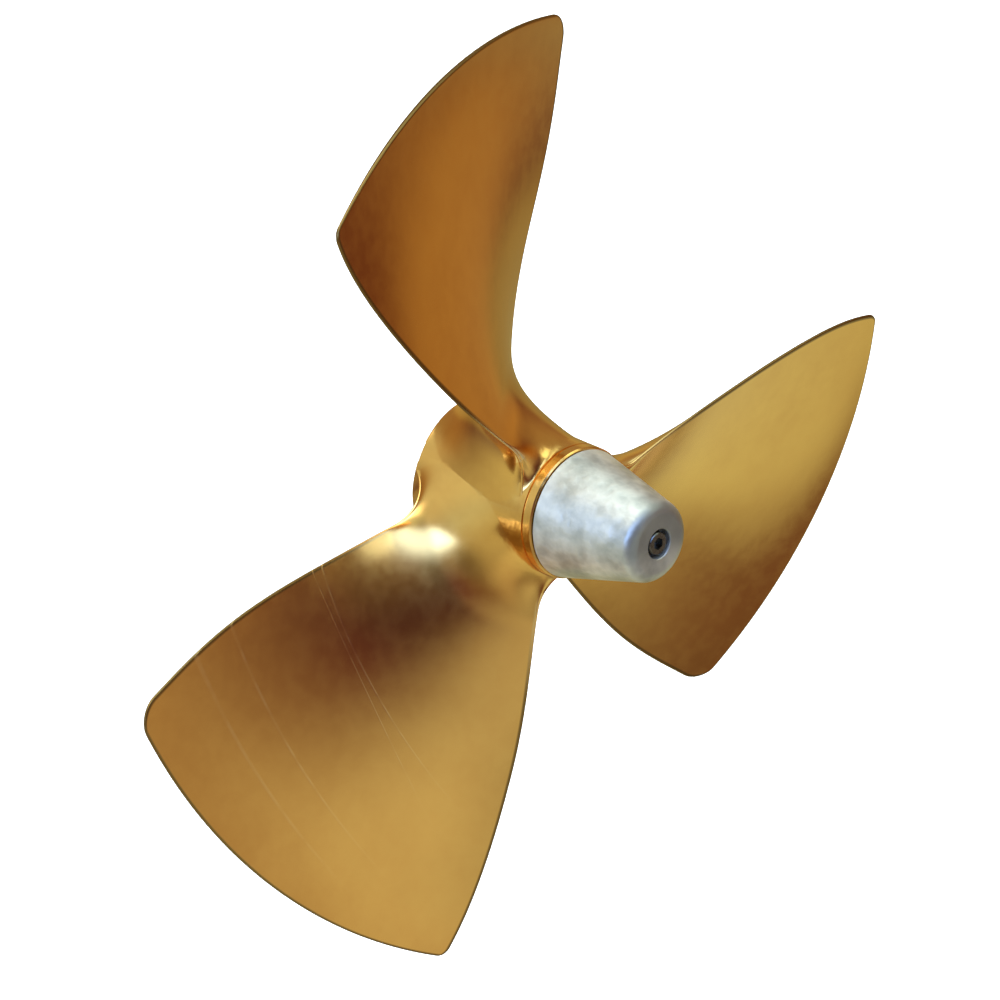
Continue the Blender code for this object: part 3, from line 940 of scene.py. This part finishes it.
def nut_tree(sizes):
    """Cuts a hexagon out of the chamfered blank, adds the neck and taps both ends."""
    tree, blank, result, size = new_tree("Shaft nut", sizes)
    corner = HEX_CORNER * size["Across flats"]
    hexagon = round_bar(tree, HEX_SIDES, corner, size["Start"], size["Height"])
    body = mesh_boolean(tree, "INTERSECT", blank, hexagon)
    neck_start = size["Start"] + 0.5 * size["Height"]
    neck = round_bar(tree, size["Steps"], size["Neck radius"], neck_start, size["End"] - neck_start)
    body = mesh_boolean(tree, "UNION", body, neck)
    bore = thread_bar(
        tree,
        size["Thread steps"],
        size["Bore radius"],
        size["Bore thread depth"],
        size["Bore pitch"],
        size["Start"] - size["Bore depth"],
        2.0 * size["Bore depth"],
        size["Bore rows"],
    )
    tapped = thread_bar(
        tree,
        size["Thread steps"],
        size["Tapped radius"],
        size["Tapped thread depth"],
        size["Tapped pitch"],
        size["End"] - size["Tapped depth"],
        2.0 * size["Tapped depth"],
        size["Tapped rows"],
    )
    end_tree(tree, mesh_boolean(tree, "DIFFERENCE", body, bore, tapped), size["Material"], result)
    return tree


def make_nut(material):
    """The shaft nut under the cone: a hexagon, and a neck tapped for the cone's screw."""
    face_radius = NUT_FACE_SHARE * 0.5 * NUT_ACROSS_FLATS
    corner_radius = HEX_CORNER * NUT_ACROSS_FLATS + NUT_BLANK_SPARE
    end = NUT_START + NUT_HEIGHT
    profile = (
        (NUT_START, 0.0),
        (NUT_START, face_radius),
        (NUT_START + NUT_CHAMFER, corner_radius),
        (end - NUT_CHAMFER, corner_radius),
        (end, face_radius),
        (end, 0.0),
    )
    nut = add_piece("tapped_nut", turned_mesh("tapped_nut", profile, SMALL_STEPS))
    sizes = {**NUT_SIZES, "Material": material}
    grow(nut, nut_tree(sizes), sizes)
    return hand_over(nut, "shaft_nut")


TAB_WASHER_SIZES = {
    "Tab start": TAB_WASHER_START + 0.5 * TAB_WASHER_THICKNESS,
    "Tab length": 0.5 * TAB_WASHER_THICKNESS + TAB_HEIGHT,
    "Tab width": TAB_WIDTH,
    "Tab floor": TAB_FLOOR,
    "Tab thickness": TAB_WASHER_THICKNESS,
}


def tab_washer_tree(sizes):
    """Joins the tab that is bent up along a flat of the nut to the washer's ring."""
    tree, ring, result, size = new_tree("Tab washer", sizes)
    tab = add_node(
        tree,
        "GeometryNodeMeshCube",
        Size=combine(tree, size["Tab length"], size["Tab width"], size["Tab thickness"]),
    )
    middle = size["Tab start"] + 0.5 * size["Tab length"]
    height = size["Tab floor"] + 0.5 * size["Tab thickness"]
    tab = moved(tree, tab.outputs["Mesh"], combine(tree, middle, 0.0, height))
    end_tree(tree, mesh_boolean(tree, "UNION", ring, tab), size["Material"], result)
    return tree


def make_tab_washer(material):
    """The washer behind the shaft nut, with its edges eased."""
    end = TAB_WASHER_START + TAB_WASHER_THICKNESS
    ease = TAB_WASHER_EASE
    profile = (
        (TAB_WASHER_START, TAB_WASHER_HOLE + ease),
        (TAB_WASHER_START, TAB_WASHER_RADIUS - ease),
        (TAB_WASHER_START + ease, TAB_WASHER_RADIUS),
        (end - ease, TAB_WASHER_RADIUS),
        (end, TAB_WASHER_RADIUS - ease),
        (end, TAB_WASHER_HOLE + ease),
        (end - ease, TAB_WASHER_HOLE),
        (TAB_WASHER_START + ease, TAB_WASHER_HOLE),
    )
    washer = add_piece("bent_tab_washer", turned_mesh("bent_tab_washer", profile, SMALL_STEPS))
    sizes = {**TAB_WASHER_SIZES, "Material": material}
    grow(washer, tab_washer_tree(sizes), sizes)
    return hand_over(washer, "nut_tab_washer")


# Materials, on object coordinates and on the numbers that the casting's tree has stored


def metal(name):
    """A new metal material: its node tree and its shader."""
    material = bpy.data.materials.new(name)
    material.use_nodes = True
    shader = material.node_tree.nodes["Principled BSDF"]
    shader.inputs["Metallic"].default_value = 1.0
    return material, material.node_tree, shader


def object_place(tree):
    return add_node(tree, "ShaderNodeTexCoord").outputs["Object"]


def noise(tree, place, scale, detail):
    """Smooth noise of about 0 to 1 over a place."""
    node = add_node(tree, "ShaderNodeTexNoise", Vector=place, Scale=scale, Detail=detail)
    return Field(tree, node.outputs["Fac"])


def smooth_step(value, low, high):
    """How far a value has come from low to high, held between 0 and 1 and eased at both ends."""
    settings = {"interpolation_type": "SMOOTHSTEP"}
    node = add_node(value.tree, "ShaderNodeMapRange", settings, Value=value, From_Min=low, From_Max=high)
    return Field(value.tree, node.outputs[0])


def mixed(tree, share, first, second):
    """One colour fading into another. A Mix node's inputs 6 and 7 and its output 2 are its colours."""
    node = add_node(tree, "ShaderNodeMix", {"data_type": "RGBA"})
    for socket, term in zip((node.inputs[0], node.inputs[6], node.inputs[7]), (share, first, second)):
        feed(tree, socket, (*term, 1.0) if isinstance(term, tuple) else term)
    return node.outputs[2]


def bump(tree, shader, height, distance):
    """Raises the surface by a height field, as far as a distance in metres."""
    node = add_node(tree, "ShaderNodeBump", Height=height, Distance=distance)
    tree.links.new(node.outputs["Normal"], shader.inputs["Normal"])


def stored(tree, name):
    """A number that the casting's node tree has kept on its mesh."""
    return Field(tree, add_node(tree, "ShaderNodeAttribute", {"attribute_name": name}).outputs["Fac"])


def scribed_lines(tree, place, face):
    """1 along the lines scribed on blade C's pressure face, with worn gaps, and 0 elsewhere."""
    x, y, z = separate(tree, place)
    turn = 2 * BLADE_STEP
    across = y * cos(turn) + z * sin(turn)
    out = z * cos(turn) - y * sin(turn)
    total = None
    for start, lean_across, lean_aft, strength in SCRIBED_LINES:
        gap = math_node("ABSOLUTE", out - across * lean_across - x * lean_aft - start)
        steepness = sqrt(1.0 + lean_across**2 + lean_aft**2)
        reach = SCRIBED_HALF_WIDTH * steepness
        line = strength * (1.0 - smooth_step(gap, SCRIBED_CORE_SHARE * reach, reach))
        total = line if total is None else math_node("MAXIMUM", total, line)
    kept = smooth_step(noise(tree, place, BRONZE_WEAR, 1.0), 0.34, 0.56)
    worn = SCRIBED_LEAST + (1.0 - SCRIBED_LEAST) * kept
    fading = smooth_step(across, SCRIBED_END, SCRIBED_FULL)
    on_blade = math_node("GREATER_THAN", out, FIRST_STATION)
    return total * worn * fading * on_blade * face


def polished_bronze():
    """Cast bronze polished by hand: faintly mottled, with painted shade along the blades' outer edges and a
    painted highlight along their edges near the boss, scribed on blade C.
    """
    material, tree, shader = metal("polished bronze")
    place = object_place(tree)
    x, y, z = separate(tree, place)
    out = math_node("SQRT", y * y + z * z)
    clouds = smooth_step(noise(tree, place, BRONZE_CLOUDS, 3.0), 0.3, 0.7)
    spots = smooth_step(noise(tree, place, BRONZE_SPOTS, 2.0), 0.3, 0.7)
    color = mixed(tree, 0.6 * clouds + 0.4 * spots, BRONZE_RED, BRONZE_YELLOW)
    edge_gap = stored(tree, "inboard")
    edge = 1.0 - smooth_step(edge_gap, RIM_FULL, RIM_END)
    outer = smooth_step(out, RIM_START_RADIUS, RIM_DARK_RADIUS)
    rim = edge * outer
    # Painted highlight: the blades' edges near the boss made bright
    painted_edge_highlight = edge * (1.0 - outer) * math_node("GREATER_THAN", out, RIM_START_RADIUS)
    # Painted shade: the blades' edges darkened further out from the shaft
    color = mixed(tree, RIM_SHADE_SHARE * rim, color, BRONZE_EDGE_SHADE)
    color = mixed(tree, EDGE_HIGHLIGHT_SHARE * painted_edge_highlight, color, BRONZE_SCRATCH_AND_HIGHLIGHT)
    scribed = scribed_lines(tree, place, stored(tree, "pressure_face"))
    color = mixed(tree, scribed, color, BRONZE_SCRATCH_AND_HIGHLIGHT)
    feed(tree, shader.inputs["Base Color"], color)
    feed(tree, shader.inputs["Roughness"], BRONZE_ROUGHNESS + 0.04 * (spots - 0.5) + 0.1 * rim)
    grain = noise(tree, place, BRONZE_GRAIN, 3.0)
    near_shaft = 1.0 - smooth_step(out, GROUND_RADIUS, GROUND_END_RADIUS)
    ground = smooth_step(x, GROUND_START, GROUND_FULL) * near_shaft
    facets = noise(tree, place, BRONZE_FACETS, 1.0)
    height = grain * GRAIN_HEIGHT + spots * SPOT_HEIGHT - SCRIBED_DEPTH * scribed
    bump(tree, shader, height + FACET_HEIGHT * ground * facets, BRONZE_RELIEF)
    return material


def machined_bronze():
    """The nut's bronze, turned and milled but not polished."""
    material, tree, shader = metal("machined bronze")
    place = object_place(tree)
    spots = noise(tree, place, NUT_SPOTS, 3.0)
    feed(tree, shader.inputs["Base Color"], mixed(tree, spots, NUT_BRONZE_DARK, NUT_BRONZE_LIGHT))
    feed(tree, shader.inputs["Roughness"], 0.3 + 0.12 * spots)
    bump(tree, shader, spots, NUT_RELIEF)
    return material


def turned_zinc():
    """Bare zinc under a thin dull skin: clouded grey, with the lathe's uneven bands running round it, and a
    darker end face with a painted dark reflection towards its top.
    """
    material, tree, shader = metal("turned zinc")
    place = object_place(tree)
    x, y, z = separate(tree, place)
    out = math_node("SQRT", y * y + z * z)
    clouds = smooth_step(noise(tree, place, ZINC_CLOUDS, 3.0), 0.34, 0.66)
    spots = smooth_step(noise(tree, place, ZINC_SPOTS, 2.0), 0.3, 0.7)
    round_shaft = math_node("ARCTAN2", y, z) * ZINC_BAND_TURN
    band_place = combine(tree, ZINC_BAND_STRETCH * x, ZINC_BAND_STRETCH * out, round_shaft)
    bands = noise(tree, band_place, ZINC_BANDS, 2.0)
    color = mixed(tree, 0.7 * clouds + 0.3 * spots, ZINC_DULL, ZINC_BRIGHT)
    # Painted dark reflection: the end face darker still towards its top
    end_dark_and_reflection_share = ZINC_END_LEAST + ZINC_END_MORE * smooth_step(z, ZINC_END_LOW, ZINC_END_HIGH)
    end_face = smooth_step(x, ZINC_END_START, ZINC_END_FULL) * end_dark_and_reflection_share
    feed(tree, shader.inputs["Base Color"], mixed(tree, end_face, color, ZINC_END))
    feed(tree, shader.inputs["Roughness"], ZINC_ROUGHNESS + 0.1 * (clouds - 0.5) + 0.05 * (spots - 0.5))
    shader.inputs["Metallic"].default_value = ZINC_METALLIC
    bump(tree, shader, clouds * 0.6 + spots * 0.3 + bands * 0.1, ZINC_RELIEF)
    return material


def stainless_steel():
    """Dull drawn steel with faint wear."""
    material, tree, shader = metal("stainless steel")
    place = object_place(tree)
    wear = noise(tree, place, STEEL_WEAR, 3.0)
    feed(tree, shader.inputs["Base Color"], mixed(tree, wear, STEEL_DARK, STEEL_LIGHT))
    feed(tree, shader.inputs["Roughness"], 0.2 + 0.16 * wear)
    bump(tree, shader, wear, STEEL_RELIEF)
    return material


def make_camera():
    data = bpy.data.cameras.new("camera")
    data.lens = CAMERA_LENS
    data.sensor_width = SENSOR_WIDTH
    camera = bpy.data.objects.new("camera", data)
    bpy.context.scene.collection.objects.link(camera)
    azimuth, elevation = radians(CAMERA_AZIMUTH), radians(CAMERA_ELEVATION)
    back = Vector((sin(azimuth) * cos(elevation), -cos(azimuth) * cos(elevation), sin(elevation)))
    camera.location = CAMERA_PLACE
    camera.rotation_euler = back.to_track_quat("Z", "Y").to_euler()
    bpy.context.scene.camera = camera


def stage_piece(name, corners, faces, material):
    """A plain part of the stage, which shows in no reflection and lights nothing."""
    mesh = bpy.data.meshes.new(name)
    mesh.from_pydata(corners, [], faces)
    mesh.materials.append(material)
    piece = add_piece(name, mesh)
    piece.visible_glossy = False
    piece.visible_diffuse = False
    return piece


def make_stage():
    """The pale floor, and round and over it a pale backdrop without a shadow, for views from low down."""
    material = bpy.data.materials.new("pale floor")
    material.use_nodes = True
    shader = material.node_tree.nodes["Principled BSDF"]
    shader.inputs["Base Color"].default_value = FLOOR_COLOR
    shader.inputs["Emission Color"].default_value = FLOOR_GLOW
    shader.inputs["Emission Strength"].default_value = 1.0
    half = STAGE_HALF_WIDTH
    square = ((-half, -half), (half, -half), (half, half), (-half, half))
    low = [(x, y, FLOOR_HEIGHT) for x, y in square]
    high = [(x, y, CEILING_HEIGHT) for x, y in square]
    stage_piece("floor", low, [(0, 1, 2, 3)], material)
    walls = [(0, 1, 5, 4), (1, 2, 6, 5), (2, 3, 7, 6), (3, 0, 4, 7)]
    backdrop = stage_piece("backdrop", low + high, [*walls, (4, 5, 6, 7)], material)
    backdrop.visible_shadow = False


def direction(azimuth_deg, elevation_deg):
    """The unit vector towards a light. Azimuth 0 is towards -Y and 90 towards +X, as the camera's is."""
    azimuth, elevation = radians(azimuth_deg), radians(elevation_deg)
    return (sin(azimuth) * cos(elevation), -cos(azimuth) * cos(elevation), sin(elevation))


def round_patch(tree, way, azimuth_deg, elevation_deg, radius_deg, softness_deg):
    """1 inside a round patch of the studio's walls, fading to 0 over its soft edge."""
    nearness = add_node(tree, "ShaderNodeVectorMath", {"operation": "DOT_PRODUCT"})
    feed(tree, nearness.inputs[0], way)
    nearness.inputs[1].default_value = direction(azimuth_deg, elevation_deg)
    angle = math_node("ARCCOSINE", Field(tree, nearness.outputs["Value"]))
    return smooth_step(angle, radians(radius_deg + softness_deg), radians(radius_deg - softness_deg))


def scaled(tree, vector, scale):
    node = add_node(tree, "ShaderNodeVectorMath", {"operation": "SCALE"}, Scale=scale)
    feed(tree, node.inputs[0], vector)
    return node.outputs[0]


def lit(tree, total, color, share):
    """Adds a share of one light's colour to the light so far."""
    both = add_node(tree, "ShaderNodeVectorMath", {"operation": "ADD"})
    feed(tree, both.inputs[0], total)
    feed(tree, both.inputs[1], scaled(tree, color, share))
    return both.outputs[0]


def make_world():
    """The studio: a gradient from floor to ceiling, soft round lights, a strip light and dark flags."""
    world = bpy.data.worlds.new("studio")
    world.use_nodes = True
    tree = world.node_tree
    background = tree.nodes["Background"]
    way = add_node(tree, "ShaderNodeTexCoord").outputs["Generated"]
    height = separate(tree, way)[2]
    ramp = add_node(tree, "ShaderNodeValToRGB", Fac=height * 0.5 + 0.5)
    stops = ramp.color_ramp.elements
    while len(stops) < len(STUDIO_WALLS):
        stops.new(0.5)
    for stop, (elevation_deg, color) in zip(stops, STUDIO_WALLS):
        stop.position = 0.5 + 0.5 * sin(radians(elevation_deg))
        stop.color = (*color, 1.0)
    total = ramp.outputs["Color"]
    for *patch, color in STUDIO_LIGHTS.values():
        total = lit(tree, total, color, round_patch(tree, way, *patch))
    strip = round_patch(tree, way, *STRIP_POLE, *STRIP_OUTER)
    strip = strip * (1.0 - round_patch(tree, way, *STRIP_POLE, *STRIP_INNER))
    strip = strip * round_patch(tree, way, *STRIP_MIDDLE, *STRIP_REACH)
    total = lit(tree, total, STRIP_COLOR, strip)
    for *patch, held in STUDIO_FLAGS.values():
        total = scaled(tree, total, 1.0 - held * round_patch(tree, way, *patch))
    feed(tree, background.inputs["Color"], total)
    bpy.context.scene.world = world
    bpy.context.scene.view_settings.view_transform = "Standard"


def main():
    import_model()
    steel = stainless_steel()
    make_casting(polished_bronze())
    make_anode(turned_zinc())
    make_screw(steel)
    make_spring_washer(steel)
    make_nut(machined_bronze())
    make_tab_washer(steel)
    make_camera()
    make_stage()
    make_world()


main()
